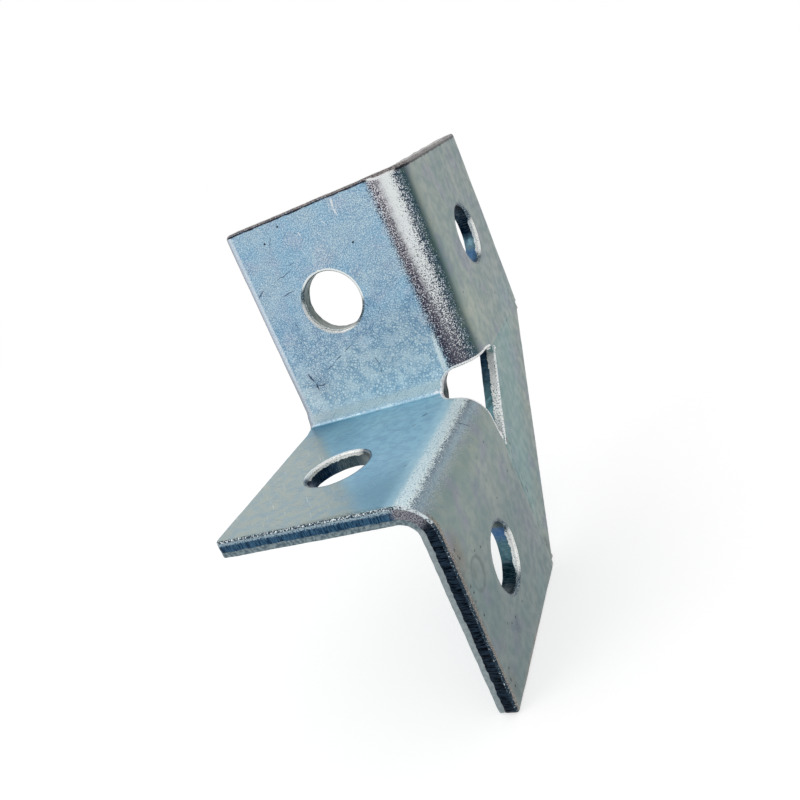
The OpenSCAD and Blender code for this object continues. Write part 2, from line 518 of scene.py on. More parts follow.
class Shader:
    """Builds the nodes of a material or a world.

    A value is a socket, a number, a vector or a colour in screen values.
    """

    def __init__(self, owner):
        owner.use_nodes = True
        self.owner = owner
        self.tree = owner.node_tree
        self.tree.nodes.clear()

    def feed(self, socket, value):
        """Links a socket, or sets its value. Nothing is done for None."""
        if isinstance(value, bpy.types.NodeSocket):
            self.tree.links.new(value, socket)
        elif value is not None:
            socket.default_value = srgb(*value) if socket.type == "RGBA" else value

    def node(self, kind, *values, **settings):
        """A node with its settings, and with values for its first inputs."""
        made = self.tree.nodes.new(kind)
        for key, setting in settings.items():
            setattr(made, key, setting)
        for socket, value in zip(made.inputs, values):
            self.feed(socket, value)
        return made

    def math(self, operation, *values):
        """One arithmetic step."""
        return self.node("ShaderNodeMath", *values, operation=operation).outputs[0]

    def times(self, *values):
        """The product of the values."""
        total = values[0]
        for value in values[1:]:
            total = self.math("MULTIPLY", total, value)
        return total

    def plus(self, *values):
        """The sum of the values."""
        total = values[0]
        for value in values[1:]:
            total = self.math("ADD", total, value)
        return total

    def step(self, value, low, high, start=0.0, end=1.0):
        """A smooth step from start to end as value goes from low, which may be more, to high."""
        settings = {"interpolation_type": "SMOOTHSTEP", "clamp": False}
        return self.node("ShaderNodeMapRange", value, low, high, start, end, **settings).outputs[0]

    def band(self, value, low, high, soft):
        """1 where value lies between low and high, with soft edges."""
        rise = self.step(value, low - soft, low + soft)
        return self.times(rise, self.step(value, high + soft, high - soft))

    def mix(self, factor, a, b):
        """A mix of two colours."""
        made = self.node("ShaderNodeMix", data_type="RGBA")
        self.feed(made.inputs[0], factor)
        self.feed(made.inputs[6], a)
        self.feed(made.inputs[7], b)
        return made.outputs[2]

    def mix_value(self, factor, a, b):
        """A mix of two numbers, for a factor that never leaves 0 to 1."""
        return self.node("ShaderNodeMapRange", factor, 0.0, 1.0, a, b, clamp=False).outputs[0]

    def scale(self, vector, amounts):
        """A vector times three numbers."""
        return self.node("ShaderNodeVectorMath", vector, amounts, operation="MULTIPLY").outputs[0]

    def turned(self, vector, degrees, centre=(0.0, 0.0)):
        """A vector turned back in the sheet round a point (s, v), for marks that run one way."""
        made = self.node("ShaderNodeVectorRotate", vector, (*centre, 0), rotation_type="Z_AXIS")
        made.inputs["Angle"].default_value = -math.radians(degrees)
        return made.outputs[0]

    def noise(self, vector, scale, detail=2.0, roughness=0.5, output="Fac"):
        """Noise about 0.5, mostly between 0.35 and 0.65."""
        made = self.node("ShaderNodeTexNoise", vector, None, scale, detail, roughness)
        return made.outputs[output]

    def attribute(self, name, output):
        """What the mesh says of each point under a name."""
        return self.node("ShaderNodeAttribute", attribute_name=name).outputs[output]

    def rest(self, value):
        """1 less a value."""
        return self.math("SUBTRACT", 1.0, value)


class Zinc(Shader):
    """Bright zinc plate, called zn where it is painted.

    A point lies s across its sheet, v along it and w deep, in millimetres.
    """

    def __init__(self, name, wings=False):
        super().__init__(bpy.data.materials.new(name))
        self.wings = wings
        place = self.node("ShaderNodeTexCoord").outputs["Object"]
        self.spot = self.scale(place, (1 / MM,) * 3)
        self.layout = self.attribute("sheet", "Vector")
        self.s, self.v, self.w = self.node("ShaderNodeSeparateXYZ", self.layout).outputs
        # Distance in from the nearest cut edge, and 1 at a punched edge, 0.5 at the relief
        self.rim = self.attribute("rim", "Fac")
        self.punched = self.attribute("punched", "Fac")
        self.grain = self.noise(self.spot, 4.2, roughness=0.65)
        self.cloud = self.noise(self.spot, 0.5)
        self.mottle = self.noise(self.spot, 0.12, 3.0, 0.55)
        self.waver = self.plus(self.cloud, -0.5)
        self.uneven = self.wandering(self.spot)
        self.upper = self.step(self.v, -0.4, 0.4)

    def reaches(self, s, reach):
        """Whether a mark at s shows in this material."""
        return s + reach > MATERIAL_EDGE if self.wings else s - reach < MATERIAL_EDGE

    def from_hole(self):
        """Where a point lies (across, along) from the nearest hole of this material."""
        centre = across_wing(HOLE_IN) if self.wings else BEND_OUT - HOLE_IN
        along = self.plus(self.math("ABSOLUTE", self.v), -along_arm(HOLE_REACH))
        return self.plus(self.s, -centre), along

    def wandering(self, place):
        """The place in the sheet, moved about by smooth noise."""
        colour = self.noise(place, 1.1, 1.0, output="Color")
        parts = self.node("ShaderNodeSeparateColor", colour).outputs
        centred = self.node("ShaderNodeCombineXYZ", *(self.plus(part, -0.5) for part in parts))
        return self.shifted(self.layout, centred.outputs[0], (0.5, 0.5, 0.0))

    def shifted(self, vector, by, amounts):
        """A vector moved by another one times three numbers."""
        made = self.node("ShaderNodeVectorMath", by, amounts, vector, operation="MULTIPLY_ADD")
        return made.outputs[0]

    def over(self, colour, shade, value, low, high, share=1.0):
        """A shade laid over a colour as value goes from low to high, up to a share of it."""
        return self.mix(self.step(value, low, high, 0.0, share), colour, shade)

    def tones(self, noise, dark, pale):
        """A colour that drifts between two tones with a noise."""
        return self.over(dark, pale, noise, 0.38, 0.62)

    def speckle(self, level, dark, pale):
        """Pale flecks on a dark ground. Level, about 0 to 1, is the share of flecks."""
        lifted = self.plus(self.grain, self.times(self.plus(level, -0.5), 0.3))
        return self.over(dark, pale, lifted, 0.42, 0.58)

    def ragged(self, value, reach):
        """A value whose edges break up into grains, within about reach on each side."""
        return self.plus(value, self.times(self.plus(self.grain, -0.5), -6 * reach))

    def mark(self, centre, radii, degrees=0.0, soft=0.6):
        """1 inside an oval round a point (s, v) of the outer face, fading to 0 at its edge."""
        place = self.turned(self.uneven, degrees, centre) if degrees else self.uneven
        start = (-centre[0] / radii[0], -centre[1] / radii[1], 0.0)
        local = self.shifted(start, place, (1 / radii[0], 1 / radii[1], 10.0))
        reach = self.node("ShaderNodeVectorMath", local, operation="LENGTH").outputs["Value"]
        return self.step(reach, 1.0, 1 - soft)

    def stroke(self, start, end, width):
        """1 along a scratch between two points (s, v), which tapers to its ends."""
        middle = [(a + b) / 2 for a, b in zip(start, end)]
        turn = math.degrees(math.atan2(end[1] - start[1], end[0] - start[0]))
        return self.mark(middle, (math.dist(start, end) / 2, width / 2), turn)

    def front(self):
        """1 on the outer face, 0 on the walls and the back."""
        return self.step(self.w, 0.1, 0.03)

    def scratches(self, degrees, seed, share=0.66):
        """Fine hair scratches that all run one way."""
        lines = self.scale(self.turned(self.layout, degrees), (0.16, 5.0, seed))
        return self.step(self.noise(lines, 1.0, 1.0), share, share + 0.05)

    def metal_share(self, colour, dull=0.0):
        """How far the surface mirrors: less where it is frosted pale, or dull."""
        bright = self.node("ShaderNodeRGBToBW", colour).outputs[0]
        frosted = self.step(bright, 0.5, 0.85, 0.0, 0.65)
        return self.rest(self.math("MAXIMUM", frosted, dull))

    def finish(self, colour, roughness, height, metal):
        """The metal itself, with its colour, its sheen and its relief."""
        bump = self.node("ShaderNodeBump")
        bump.inputs["Strength"].default_value = BUMP_STRENGTH
        bump.inputs["Distance"].default_value = BUMP_HEIGHT * MM
        self.feed(bump.inputs["Height"], height)
        shine = self.node("ShaderNodeBsdfPrincipled")
        self.feed(shine.inputs["Metallic"], metal)
        self.feed(shine.inputs["Base Color"], colour)
        self.feed(shine.inputs["Roughness"], roughness)
        self.feed(shine.inputs["Normal"], bump.outputs[0])
        self.node("ShaderNodeOutputMaterial", shine.outputs[0])
        return self.owner


def upper_flange_colour(zn):
    """Blue grain, partly the plating's tint and partly painted reflection, with a network of fine
    cracks in its lower half, painted paler towards the fold, and a painted highlight along the crease.
    """
    cells = zn.node("ShaderNodeTexVoronoi", zn.wandering(zn.layout), feature="DISTANCE_TO_EDGE")
    cells.inputs["Scale"].default_value = 1.5
    crack = zn.step(cells.outputs["Distance"], 0.3, 0.03)
    crack = zn.times(crack, zn.step(zn.v, 12, 34, 1.0, 0.3), zn.step(zn.cloud, 0.35, 0.6, 0.35, 1.0))
    # Painted light: the flange and its grain are painted paler towards the fold, where it lies in
    # shade.
    painted_light_near_fold = zn.step(zn.v, 22, 5)
    colour = zn.tones(zn.mottle, (146, 182, 204), (167, 191, 204))
    colour = zn.over(colour, (170, 180, 196), zn.noise(zn.spot, 0.2), 0.48, 0.66, 0.55)
    colour = zn.mix(painted_light_near_fold, colour, (226, 246, 252))
    colour = zn.mix(crack, colour, zn.mix(painted_light_near_fold, (78, 120, 154), (136, 180, 208)))
    dark = zn.mix(painted_light_near_fold, (84, 130, 166), (130, 178, 208))
    colour = zn.over(colour, dark, zn.grain, 0.5, 0.38, 0.75)
    colour = zn.over(colour, (216, 232, 238), zn.grain, 0.53, 0.66, 0.8)
    # Painted highlight along the crease of the fold.
    painted_crease_highlight = zn.speckle(0.75, (150, 182, 198), (206, 222, 226))
    return zn.mix(zn.band(zn.v, 1.8, 4.0, 1.0), colour, painted_crease_highlight)


def lower_flange_colour(zn):
    """Smooth blue, a painted reflection of the upper flange that grows paler towards the fold, grey
    where the free corner lies, and painted shade near the fold at the free edge.
    """
    # Painted reflection of the upper flange: blue, paler towards the fold.
    blue = zn.over((180, 215, 227), (151, 193, 206), zn.s, -14, -25)
    blue = zn.over((138, 172, 183), blue, zn.v, -42, -26)
    blue = zn.over(blue, (148, 200, 220), zn.v, -9, -3, 0.4)
    grey = zn.over((153, 166, 162), (130, 150, 152), zn.v, -20, -6)
    colour = zn.over(blue, grey, zn.plus(zn.s, zn.times(zn.v, 0.63)), -33.0, -36.5)
    # Painted shade where the fold meets the free edge.
    shaded = zn.mark((-33.0, -2.0), (13.0, 8.5), soft=1.0)
    colour = zn.mix(shaded, colour, (84, 138, 162))
    colour = zn.over(colour, (136, 172, 196), zn.cloud, 0.42, 0.6, 0.32)
    colour = zn.over(colour, (112, 150, 172), zn.grain, 0.42, 0.32, 0.3)
    return zn.over(colour, (218, 232, 236), zn.grain, 0.56, 0.7, 0.35)


def bend_colour(zn, colour):
    """The outside of the two bends, where the plate is stretched and coarse, with painted reflection:
    dark speckled bands and a highlight streak on the upper bend, a pale line and a dark flank on the
    lower one.
    """
    s = zn.plus(zn.s, zn.noise(zn.spot, 0.9), -0.5)
    grainy = zn.ragged(s, 0.9)
    # 0 beside the relief, 1 near the upper arm's end
    rise = zn.times(zn.plus(zn.v, -6.0), 1 / 39)
    rise = zn.math("MINIMUM", zn.math("MAXIMUM", rise, 0.0), 1.0)
    # Upper bend: a dark speckled band, partly the coarse skin and partly painted reflection, then a
    # painted highlight streak that fades towards the relief, then painted shade into the wing.
    dark = zn.speckle(zn.plus(zn.times(rise, 0.4), 0.08), (54, 50, 68), (210, 210, 214))
    upper = zn.over(colour, dark, zn.plus(grainy, zn.times(rise, 1.2)), -0.7, 0.5)
    painted_streak_highlight = zn.speckle(zn.plus(zn.times(rise, 1.15), 0.06), (78, 78, 90), (232, 238, 238))
    upper = zn.over(upper, painted_streak_highlight, grainy, 0.7, 1.6)
    right = zn.speckle(0.3, (40, 54, 74), (166, 178, 188))
    upper = zn.over(upper, right, grainy, 2.7, 3.3)
    shade = zn.tones(zn.cloud, (44, 68, 78), (56, 78, 76))
    upper = zn.over(upper, shade, grainy, 3.4, 4.4)
    upper = zn.over(upper, colour, zn.s, 4.5, 6.2)
    # The painted highlight beside the relief
    painted_tongue_highlight = zn.times(zn.mark((-0.8, 8.5), (0.7, 6.5), -3), 0.9)
    upper = zn.mix(painted_tongue_highlight, upper, zn.speckle(0.8, (140, 172, 192), (236, 246, 248)))
    # Lower bend: a pale line, painted reflection of the upper flange, then a dark speckled flank of
    # painted shade.
    lower = zn.over(colour, (206, 236, 242), s, -2.8, -0.1, 0.45)
    line = zn.speckle(0.75, (150, 192, 210), (242, 255, 255))
    lower = zn.over(lower, line, s, -0.2, 0.9)
    painted_flank_shade = zn.speckle(0.5, (100, 118, 134), (152, 166, 172))
    lower = zn.over(lower, painted_flank_shade, zn.ragged(s, 0.5), 1.9, 2.6)
    lower = zn.over(lower, colour, zn.ragged(s, 0.9), 3.0, 5.0)
    return zn.mix(zn.upper, lower, upper)


def wing_colour(zn, shade):
    """The wings and the corner plate: smooth grey-green, bluer and darker as painted shade where shade
    says.
    """
    colour = zn.tones(zn.mottle, (119, 137, 133), (138, 148, 142))
    colour = zn.over(colour, (124, 128, 144), zn.noise(zn.spot, 0.16), 0.52, 0.66, 0.6)
    colour = zn.over(colour, (112, 138, 146), zn.cloud, 0.5, 0.64, 0.3)
    colour = zn.mix(shade, colour, (80, 102, 110))
    colour = zn.over(colour, (86, 98, 104), zn.noise(zn.spot, 1.1, 1.0), 0.3, 0.24, 0.5)
    return zn.over(colour, (92, 108, 108), zn.grain, 0.46, 0.32, 0.2)


# How much wider than it looks a dark scratch is drawn, because it fades at its sides
FADED = 1.4


def wear(zn, colour):
    """Scratches, nicks, scuffs and stains on the strip's outer face, each at its own place."""
    flecked = zn.step(zn.grain, 0.56, 0.44, 0.25, 1.0)
    dark = 0.0
    for start, end, width, strength in (
        ((-34, 31.5), (-31, 33.4), 0.3, 0.8), ((-28.2, 34), (-22.9, 35), 0.2, 0.8),
        ((-28.4, 30.3), (-24.3, 31.1), 0.2, 0.8), ((-24.6, 43.2), (-26.4, 39.8), 0.18, 0.6),
        ((-24.3, 36), (-21.6, 36.3), 0.16, 0.7), ((-17.5, 16.7), (-20.3, 15.2), 0.2, 0.8),
        ((-20.3, 15.2), (-23.2, 13.9), 0.2, 0.9), ((-25.9, 12.6), (-23, 13.6), 0.2, 0.8),
        ((-14.1, 13), (-13.6, 10.2), 0.2, 0.9), ((-13.6, 10.4), (-14.3, 8.2), 0.18, 0.7),
        ((-30.3, 13.4), (-29.4, 10.7), 0.44, 1), ((-29.4, 11), (-29.1, 8.8), 0.36, 1),
        ((-29.5, 9.9), (-26.7, 9.9), 0.28, 0.9), ((-28, 24.8), (-27.4, 22.5), 0.2, 0.8),
        ((-11.3, 24), (-10.9, 22.6), 0.22, 0.8), ((-4.9, -11.7), (-4, -10.1), 0.4, 0.9),
        ((-6.2, -15.3), (-4.9, -14.2), 0.26, 0.9), ((-2.4, -32.5), (-1.1, -32), 0.3, 0.7),
        ((1.8, -17.1), (4.5, -15.2), 0.22, 0.8), ((25.8, 45.5), (25.9, 44.2), 0.24, 0.8),
        ((9.2, 15.6), (9.6, 13.8), 0.3, 0.7),
    ):
        if zn.reaches(start[0], 2.0):
            line = zn.times(zn.stroke(start, end, width * FADED), strength)
            dark = zn.math("MAXIMUM", dark, line)
    colour = zn.mix(dark, colour, (36, 58, 90))
    light = 0.0
    for start, end, width in (
        ((-9.2, 45.6), (-9.6, 43.1), 0.5), ((-9.6, 43.4), (-9.3, 41.5), 0.4),
        ((-13.1, 42), (-12.5, 41), 0.24), ((-18.8, 41.7), (-18.3, 40.5), 0.3),
    ):
        if zn.reaches(start[0], 2.0):
            light = zn.math("MAXIMUM", light, zn.stroke(start, end, width))
    for centre, radii, shade, strength in (
        ((34, -33.2), (2.6, 2.2), (86, 96, 112), 0.6),
        ((31.5, -41.6), (2.2, 3), (92, 94, 116), 0.6),
        ((37.5, -43.5), (5, 3.4), (92, 84, 72), 0.55),
        ((12.5, -43.5), (6.5, 4.2), (120, 98, 84), 0.75),
        ((29, -9.5), (9, 6), (112, 114, 136), 0.55),
        ((38.5, -15), (4, 5), (100, 132, 140), 0.6),
        ((34.5, -33.5), (2.6, 3.6), (70, 86, 92), 0.5),
        ((41.6, -32), (1.2, 16), (150, 122, 102), 0.75),
        ((9.5, 14.5), (7, 9), (160, 168, 152), 0.6),
        ((33.5, 9), (9, 7), (104, 136, 148), 0.6),
        ((20, -45.6), (16, 1.8), (58, 60, 64), 0.8),
        ((-8, -46), (14, 1.5), (64, 72, 74), 0.8),
        ((-24, -46.1), (8, 0.9), (64, 72, 74), 0.7),
    ):
        if zn.reaches(centre[0], radii[0]):
            mask = zn.times(zn.mark(centre, radii, soft=1.0), flecked, strength)
            colour = zn.mix(mask, colour, shade)
    dark = 0.0
    for spot in (
        (11.3, -44), (12.6, -43.7), (13.3, -43.4), (18.2, -43.9), (19.6, -43.7), (20.9, -44.3),
        (24.1, -43.4), (31.2, -36.5), (32.5, -34.8), (33, -32.5), (33.8, -27.1), (36.6, -43.9),
        (38.4, -43.3), (35.1, -42.9), (16, -37.2), (17.2, -34.3), (16.7, -19.4), (7.2, -15.2),
        (16.9, -9), (27.6, 11.4), (7.9, 18), (-26.7, 41.8), (-22.3, 44.1), (-8.5, 35.8),
    ):
        if zn.reaches(spot[0], 1.0):
            dark = zn.math("MAXIMUM", dark, zn.mark(spot, (0.32, 0.32)))
    colour = zn.mix(dark, colour, (28, 40, 50))
    return zn.mix(zn.times(light, 0.9), colour, (238, 244, 246))


def flange_scratches(zn, colour):
    """Hair scratches on the flanges, and the worn patch low on the upper one."""
    flange = zn.times(zn.step(zn.s, -1.0, -2.0), zn.front())
    hair = zn.times(zn.math("MAXIMUM", zn.scratches(38, 0.0), zn.scratches(-24, 7.0)), flange)
    colour = zn.mix(zn.times(hair, 0.5), colour, (84, 118, 148))
    bright = zn.times(zn.scratches(-58, 3.0, 0.7), flange)
    colour = zn.mix(zn.times(bright, 0.5), colour, (222, 234, 240))
    worn = zn.mark((-28.5, 11.0), (4.5, 6.0), soft=1.0)
    return zn.mix(zn.times(worn, zn.step(zn.grain, 0.56, 0.44), 0.8), colour, (72, 104, 142))


def wing_marks(zn, colour):
    """Grime along the lower wing's rolled end, and a faint oval ring pressed into that wing."""
    end = zn.step(zn.ragged(zn.v, 0.2), 1.4 - ARM_END, 0.9 - ARM_END)
    grime = zn.times(end, zn.step(zn.s, 3.0, 6.0), zn.front(), 0.85)
    colour = zn.mix(grime, colour, zn.speckle(0.5, (66, 64, 64), (158, 150, 142)))
    if not zn.wings:
        return colour
    inner = zn.mark((18.8, -39.6), (2.8, 2.8), soft=0.25)
    ring = zn.times(zn.mark((19.0, -39.3), (3.3, 3.3), soft=0.12), zn.rest(inner), 0.5)
    colour = zn.mix(ring, colour, (70, 88, 88))
    hollow = zn.times(zn.mark((17.9, -40.4), (2.4, 2.4), soft=1.0), 0.5)
    return zn.mix(hollow, colour, (88, 102, 96))


def rolled_edges(zn, colour, mouth, seam):
    """The edges that shearing and punching rolled over, with what lies just inside them, and the
    painted highlights and shade on them.
    """
    # Painted highlight along the upper flange's rolled free edge.
    painted_free_edge_highlight = zn.times(zn.step(zn.s, FREE_EDGE + 1.6, FREE_EDGE + 1.2), zn.front(), zn.upper)
    colour = zn.mix(painted_free_edge_highlight, colour, zn.speckle(0.7, (150, 172, 190), (212, 226, 236)))
    outermost = zn.times(painted_free_edge_highlight, zn.step(zn.s, FREE_EDGE + 0.9, FREE_EDGE + 0.6))
    colour = zn.mix(outermost, colour, (172, 182, 196))
    # The worn crest along the upper arm's free end, with a line inside it painted as shade, and as a
    # highlight over the bend
    crest = zn.plus(zn.v, zn.times(zn.waver, 0.5), zn.times(zn.step(zn.s, -1.5, 1.0), 0.35))
    worn = zn.over((84, 78, 80), (146, 141, 138), zn.grain, 0.42, 0.6)
    colour = zn.over(colour, worn, crest, ARM_END - 0.3, ARM_END - 0.15)
    line = zn.band(crest, ARM_END - 0.7, ARM_END - 0.25, 0.1)
    line = zn.times(line, zn.step(zn.grain, 0.34, 0.42))
    painted_line_light_and_shade = zn.mix(zn.band(zn.s, -1.0, 3.2, 0.5), (34, 30, 36), (236, 238, 238))
    colour = zn.mix(line, colour, painted_line_light_and_shade)
    # The lower arm's roll: painted shade on the flange and the wing, a painted highlight over the bend.
    outline = zn.times(zn.step(zn.punched, 0.3, 0.2), zn.rest(seam))
    roll = zn.band(zn.w, 0.05, 0.5, 0.04)
    share = zn.times(zn.step(zn.s, 0.5, -1.0), 0.3)
    share = zn.plus(share, zn.times(zn.band(zn.s, 0.5, 5.5, 1.0), 0.7))
    upper_roll = zn.over((84, 78, 82), (158, 152, 150), zn.grain, 0.44, 0.62)
    edge = zn.mix(zn.upper, zn.speckle(share, (38, 54, 66), (206, 216, 220)), upper_roll)
    colour = zn.mix(zn.times(roll, outline), colour, edge)
    # Painted highlight on the relief's rolled rim.
    beside = zn.times(zn.step(zn.math("ABSOLUTE", zn.v), 8.5, 7.5), zn.rest(seam))
    near_face = zn.times(zn.step(zn.rim, 0.35, 0.2), zn.step(zn.w, 0.6, 0.5))
    relief = zn.times(zn.step(zn.punched, 0.05, 0.15), near_face, beside)
    colour = zn.mix(relief, colour, zn.speckle(0.85, (96, 110, 128), (255, 255, 255)))
    # Painted highlight where the crease meets the relief.
    corner = zn.mark((-4.3, 1.2), (1.7, 1.5), soft=1.0)
    colour = zn.mix(corner, colour, zn.speckle(0.7, (130, 170, 196), (255, 255, 255)))
    in_mouth = zn.times(zn.step(zn.punched, 0.8, 0.9), zn.step(zn.rim, 0.2, 0.1))
    return zn.mix(in_mouth, colour, mouth)


def wall_colour(zn, colour, frost_depth, frost_share, bore):
    """The cut walls: sheared then torn at the outline, frosted then smooth in the holes, with painted
    reflection on the lower arm's sheared walls and painted shade on the relief's.
    """
    on_wall = zn.times(zn.step(zn.w, 0.42, 0.52), zn.step(zn.w, SHEET_T - 0.02, SHEET_T - 0.04))
    ragged = zn.times(zn.plus(zn.noise(zn.spot, 0.5, 3.0, 0.6), -0.5), 0.9)
    torn = zn.step(zn.plus(zn.w, ragged), TORN_PAINT - 0.06, TORN_PAINT + 0.06)
    lines = zn.noise(zn.scale(zn.layout, (5.0, 5.0, 0.7)), 1.0, 2.0, 0.6)
    s = zn.plus(zn.s, zn.times(zn.waver, 3.0))
    flange = zn.step(s, 0.5, -1.2)
    wing = zn.step(s, 3.5, 6.0)
    clean = zn.speckle(0.55, (58, 62, 76), (142, 142, 148))
    # Painted reflection: the lower arm's sheared walls dark blue on the flange and near-black on the
    # wing.
    blue = zn.tones(lines, (14, 42, 66), (56, 90, 116))
    # A paler band at the top of the lower flange's walls: burnish, with the roll's painted highlight.
    burnish_and_highlight = zn.speckle(0.6, (84, 108, 126), (150, 170, 180))
    blue = zn.over(blue, burnish_and_highlight, zn.ragged(zn.w, 0.2), 1.1, 0.7)
    clean = zn.mix(flange, clean, blue)
    clean = zn.mix(wing, clean, zn.tones(lines, (0, 4, 12), (32, 46, 60)))
    rough = zn.tones(zn.noise(zn.spot, 1.6, 2.0), (84, 100, 108), (128, 142, 146))
    rough = zn.mix(zn.times(wing, 0.6), rough, (150, 160, 162))
    outline = zn.mix(torn, clean, rough)
    outline = zn.mix(zn.upper, outline, zn.tones(lines, (132, 132, 134), (158, 154, 152)))
    # Painted shade on the relief's walls.
    relief = zn.tones(lines, (8, 20, 30), (34, 46, 54))
    wall = zn.over(outline, relief, zn.punched, 0.2, 0.3)
    # The holes' frost, whose depth and share follow the painted light.
    frost_end = zn.plus(frost_depth, zn.noise(zn.spot, 0.7, 3.0, 0.7), -0.5)
    frosted = zn.step(zn.math("SUBTRACT", zn.w, frost_end), 0.08, -0.08)
    frost = zn.speckle(frost_share, (96, 122, 134), (250, 253, 250))
    bore = zn.over(bore, (150, 166, 172), lines, 0.45, 0.62, 0.16)
    hole = zn.mix(frosted, bore, frost)
    wall = zn.over(wall, hole, zn.punched, 0.7, 0.8)
    return zn.mix(on_wall, colour, wall)


def relief_height(zn):
    """Fine grain everywhere, and the coarse stretched skin on the bends."""
    bend = zn.band(zn.s, -0.8, 4.2, 1.0)
    coarse = zn.times(zn.noise(zn.spot, 2.4, 2.0, 0.7), bend, 3.0)
    flange = zn.step(zn.s, -0.5, -2.0, 0.25, 0.8)
    return zn.plus(zn.times(zn.grain, flange), coarse)


def mouth_colour(zn, lit):
    """The rolled mouths: pale frost as painted highlight where lit says, painted shade elsewhere."""
    unlit = zn.speckle(0.3, (58, 74, 84), (150, 164, 172))
    return zn.mix(lit, unlit, zn.speckle(0.9, (120, 134, 140), (252, 254, 250)))


def flange_holes(zn):
    """The flanges' mouths and bores: frosted pale on their lit side and dark opposite, as painted light
    and shade.
    """
    across, along = zn.from_hole()
    towards = zn.plus(zn.times(across, -0.6), zn.times(along, -0.75))
    lit = zn.times(zn.step(towards, 1.6, 3.6), zn.mix_value(zn.upper, 1.0, 0.5))
    mouth = mouth_colour(zn, lit)
    # The thin painted highlight over the upper hole
    above = zn.times(zn.step(zn.plus(along, zn.times(across, 0.5)), 1.0, 3.0), zn.upper)
    mouth = zn.mix(zn.times(above, zn.step(zn.w, 0.14, 0.08)), mouth, (250, 254, 252))
    # The bores' painted light and shade, by side.
    flange_1 = zn.over((126, 133, 128), (60, 82, 82), along, -5, 3)
    flange_2 = zn.over((14, 44, 72), (52, 68, 74), across, -5, -1.5)
    flange_2 = zn.over(flange_2, (110, 121, 124), across, 1.0, 4.0)
    return mouth, lit, zn.mix(zn.upper, flange_2, flange_1)


def wing_holes(zn):
    """The wings' mouths and bores, frosted pale low on the right as the camera sees them, as painted
    light and shade.
    """
    across, along = zn.from_hole()
    right = zn.mix_value(zn.upper, zn.times(along, -1.0), across)
    up = zn.mix_value(zn.upper, zn.times(across, -1.0), along)
    lit = zn.times(zn.step(right, 1.0, 3.0), zn.step(up, 2.6, 0.6), zn.step(up, -6.2, -4.6))
    # The bores' painted light and shade, by side.
    wing_1 = zn.over((92, 122, 134), (0, 28, 46), along, -2.5, -0.5)
    wing_1 = zn.over(wing_1, (66, 108, 148), along, -3.5, -5.0)
    wing_2 = zn.over((86, 98, 92), (64, 100, 142), across, -3.4, -2.4)
    wing_2 = zn.over(wing_2, (66, 100, 110), across, -1.2, 1.2)
    wing_2 = zn.over(wing_2, (8, 34, 44), across, 2.5, 5.0)
    return mouth_colour(zn, lit), lit, zn.mix(zn.upper, wing_2, wing_1)


def strip_zinc(name, wings):
    """The folded strip's finish: that of the wings, or that of the flanges and the bends."""
    zn = Zinc(name, wings)
    # Painted shade: the wings darker and bluer towards their free edges, more so on the lower wing.
    shade = zn.mix_value(zn.upper, zn.step(zn.s, 4, 28, 0.0, 0.45), zn.step(zn.s, 12, 42, 0.0, 0.3))
    colour = wing_colour(zn, shade)
    if not wings:
        # The flanges' blue and the wings' grey-green are partly the plating's own tint and partly
        # painted reflection.
        flanges = zn.mix(zn.upper, lower_flange_colour(zn), upper_flange_colour(zn))
        colour = zn.over(flanges, colour, zn.s, 3.0, 4.0)
        colour = flange_scratches(zn, bend_colour(zn, colour))
    colour = wing_marks(zn, wear(zn, colour))
    mouth, lit, bore = wing_holes(zn) if wings else flange_holes(zn)
    seam = zn.times(zn.step(zn.math("ABSOLUTE", zn.v), 5.6, 5.0), zn.step(zn.s, 11.0, 11.6))
    colour = rolled_edges(zn, colour, mouth, seam)
    # The holes' frost reaches deeper and is paler on the painted lit side.
    frost_depth = zn.mix_value(lit, 0.6, 1.05)
    colour = wall_colour(zn, colour, frost_depth, zn.mix_value(lit, 0.2, 0.9), bore)
    dull = zn.times(zn.step(zn.v, 22, 7), zn.upper, zn.step(zn.s, 0.0, -1.0), 0.8)
    metal = zn.metal_share(colour, dull)
    return zn.finish(colour, zn.step(zn.cloud, 0.35, 0.65, 0.3, 0.42), relief_height(zn), metal)


def seam_marks(zn, colour):
    """What grinding left open along the lower seam, with a painted shadow under the lower weld's lump,
    in (s, v) of the corner plate.
    """
    for start, end, width, strength in (
        # The first mark, just under the lower weld's lump, is a painted shadow.
        ((-2.4, -11.6), (-1.6, -12.6), 1.2, 1), ((-4.6, -11.4), (-3.9, -12.6), 0.7, 1),
        ((-1, -12.6), (-0.9, -14.4), 0.5, 0.7), ((-1.2, -14.2), (-2, -15.6), 0.4, 0.6),
        ((-2.8, -16), (-3.1, -16.5), 0.4, 0.9), ((-1.4, -17), (-1.5, -20.4), 0.16, 0.6),
        ((-1.5, -20), (-1.7, -22), 0.34, 0.9), ((-1.6, -22.8), (-1.8, -25), 0.4, 1),
        ((-1.8, -26.6), (-1.9, -27.4), 0.3, 0.7), ((-3.2, -26.8), (-3.4, -27.3), 0.4, 0.8),
        ((9.6, 3.9), (10, 3.2), 0.5, 0.9), ((14.8, 1.6), (15.4, 0.5), 0.5, 0.6),
    ):
        colour = zn.mix(zn.times(zn.stroke(start, end, width), strength), colour, (14, 30, 38))
    for spot, radius in (((-3.1, -10.4), 1.0), ((9.7, 3.3), 0.6), ((12.9, 2.2), 0.3)):
        lump = zn.speckle(0.9, (120, 132, 136), (252, 253, 250))
        colour = zn.mix(zn.mark(spot, (radius, radius), soft=0.3), colour, lump)
    smudge = zn.mark((-2.4, -36.3), (1.6, 3.0), soft=1.0)
    return zn.mix(zn.times(smudge, zn.step(zn.grain, 0.56, 0.44), 0.8), colour, (44, 56, 62))


